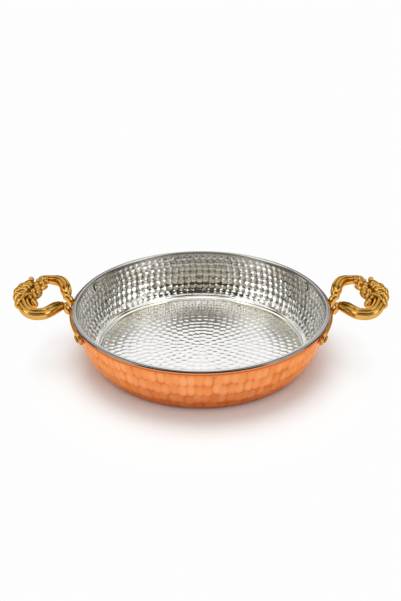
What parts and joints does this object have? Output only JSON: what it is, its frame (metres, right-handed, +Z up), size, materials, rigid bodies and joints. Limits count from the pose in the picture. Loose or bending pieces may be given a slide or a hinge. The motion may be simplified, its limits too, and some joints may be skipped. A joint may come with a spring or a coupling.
{
  "type": "pan",
  "caption": "Shallow round pan with a hammered wall, a flat rim and riveted cast loop handles with a shell at the outer end.",
  "frame": {"origin": "on the table under the middle of the pan", "axes": "+X towards the right handle, +Y to the back, +Z up along the pan's axis"},
  "size_m": [0.2914, 0.1998, 0.0561],
  "materials": {
    "hammered_copper": "hammered copper outside, tinned inside and on the rim",
    "polished_brass": "cast and polished",
    "rivet_brass": "satin"
  },
  "bodies": {
    "root": {"pan_body": "hammered_copper", "handle_left": "polished_brass", "handle_right": "polished_brass", "rivet_left_front": "rivet_brass", "rivet_left_back": "rivet_brass", "rivet_right_front": "rivet_brass", "rivet_right_back": "rivet_brass"}
  },
  "joints": []
}
